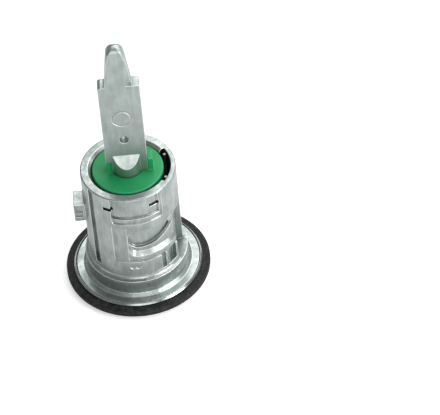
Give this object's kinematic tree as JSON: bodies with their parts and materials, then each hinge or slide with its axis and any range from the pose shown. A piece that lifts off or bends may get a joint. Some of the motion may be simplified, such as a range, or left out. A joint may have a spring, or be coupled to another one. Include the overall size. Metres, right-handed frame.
{
  "type": "car door lock cylinder",
  "caption": "Keyed lock cylinder for a car door: round flanged zinc housing with a rubber gasket, a sprung rotor with wafers and a flat tail blade that turns the latch lever.",
  "frame": {"origin": "centre of the front face of the cap, on the rotor's axis", "axes": "+Z along the rotor's axis to the tail, -X towards the lug, -Y towards the window and the pocket"},
  "size_m": [0.037, 0.037, 0.0775],
  "materials": {
    "zinc": "as-cast zinc alloy, satin",
    "zinc_tail": "as-cast zinc alloy, matt",
    "zinc_rotor": "as-cast zinc alloy, satin",
    "bright_steel": "bright pressed stainless sheet",
    "black_rubber": "moulded rubber, matt",
    "green_plastic": "moulded acetal, satin",
    "steel": "plain steel",
    "spring_steel": "spring steel",
    "brass": "stamped brass"
  },
  "bodies": {
    "body": {"housing": "zinc", "front_cap": "bright_steel", "flange_gasket": "black_rubber", "retaining_clip": "spring_steel", "return_spring": "spring_steel"},
    "rotor": {"rotor": "zinc_rotor", "rotor_face": "bright_steel", "shutter_pin": "steel", "shutter_spring": "spring_steel", "tail_blade": "zinc_tail", "blade_retainer": "green_plastic", "wafer_spring_1": "spring_steel", "wafer_spring_2": "spring_steel", "wafer_spring_3": "spring_steel", "wafer_spring_4": "spring_steel", "wafer_spring_5": "spring_steel", "wafer_spring_6": "spring_steel", "wafer_spring_7": "spring_steel", "wafer_spring_8": "spring_steel"},
    "sleeve": {"clutch_sleeve": "steel"},
    "shutter": {"dust_shutter": "steel"},
    "wafer_1": {"wafer_1": "brass"},
    "wafer_2": {"wafer_2": "brass"},
    "wafer_3": {"wafer_3": "brass"},
    "wafer_4": {"wafer_4": "brass"},
    "wafer_5": {"wafer_5": "brass"},
    "wafer_6": {"wafer_6": "brass"},
    "wafer_7": {"wafer_7": "brass"},
    "wafer_8": {"wafer_8": "brass"}
  },
  "joints": [
    {"name": "rotor_turn", "type": "hinge", "parent": "body", "child": "rotor", "pos_m": [0, 0, 0], "axis": [0, 0, 1], "range_deg": [-70, 70], "stiffness_Nm_per_rad": 0.06},
    {"name": "sleeve_turn", "type": "hinge", "parent": "body", "child": "sleeve", "pos_m": [0, 0, 0], "axis": [0, 0, 1], "range_deg": [-70, 70]},
    {"name": "shutter_swing", "type": "hinge", "parent": "rotor", "child": "shutter", "pos_m": [0, 0.0022, 0.0013], "axis": [-1, 0, 0], "range_deg": [0, 90], "stiffness_Nm_per_rad": 0.0005, "springref_deg": -28.65},
    {"name": "wafer_1_slide", "type": "slide", "parent": "rotor", "child": "wafer_1", "axis": [-1, 0, 0], "range_m": [0, 0.0016], "stiffness_N_per_m": 40, "springref_m": -0.0015, "deforming": ["wafer_spring_1"]},
    {"name": "wafer_2_slide", "type": "slide", "parent": "rotor", "child": "wafer_2", "axis": [1, 0, 0], "range_m": [0, 0.0016], "stiffness_N_per_m": 40, "springref_m": -0.0015, "deforming": ["wafer_spring_2"]},
    {"name": "wafer_3_slide", "type": "slide", "parent": "rotor", "child": "wafer_3", "axis": [-1, 0, 0], "range_m": [0, 0.0016], "stiffness_N_per_m": 40, "springref_m": -0.0015, "deforming": ["wafer_spring_3"]},
    {"name": "wafer_4_slide", "type": "slide", "parent": "rotor", "child": "wafer_4", "axis": [1, 0, 0], "range_m": [0, 0.0016], "stiffness_N_per_m": 40, "springref_m": -0.0015, "deforming": ["wafer_spring_4"]},
    {"name": "wafer_5_slide", "type": "slide", "parent": "rotor", "child": "wafer_5", "axis": [-1, 0, 0], "range_m": [0, 0.0016], "stiffness_N_per_m": 40, "springref_m": -0.0015, "deforming": ["wafer_spring_5"]},
    {"name": "wafer_6_slide", "type": "slide", "parent": "rotor", "child": "wafer_6", "axis": [1, 0, 0], "range_m": [0, 0.0016], "stiffness_N_per_m": 40, "springref_m": -0.0015, "deforming": ["wafer_spring_6"]},
    {"name": "wafer_7_slide", "type": "slide", "parent": "rotor", "child": "wafer_7", "axis": [-1, 0, 0], "range_m": [0, 0.0016], "stiffness_N_per_m": 40, "springref_m": -0.0015, "deforming": ["wafer_spring_7"]},
    {"name": "wafer_8_slide", "type": "slide", "parent": "rotor", "child": "wafer_8", "axis": [1, 0, 0], "range_m": [0, 0.0016], "stiffness_N_per_m": 40, "springref_m": -0.0015, "deforming": ["wafer_spring_8"]}
  ],
  "couplings": [
    {"joint": "sleeve_turn", "follows": "rotor_turn", "ratio": 1}
  ]
}
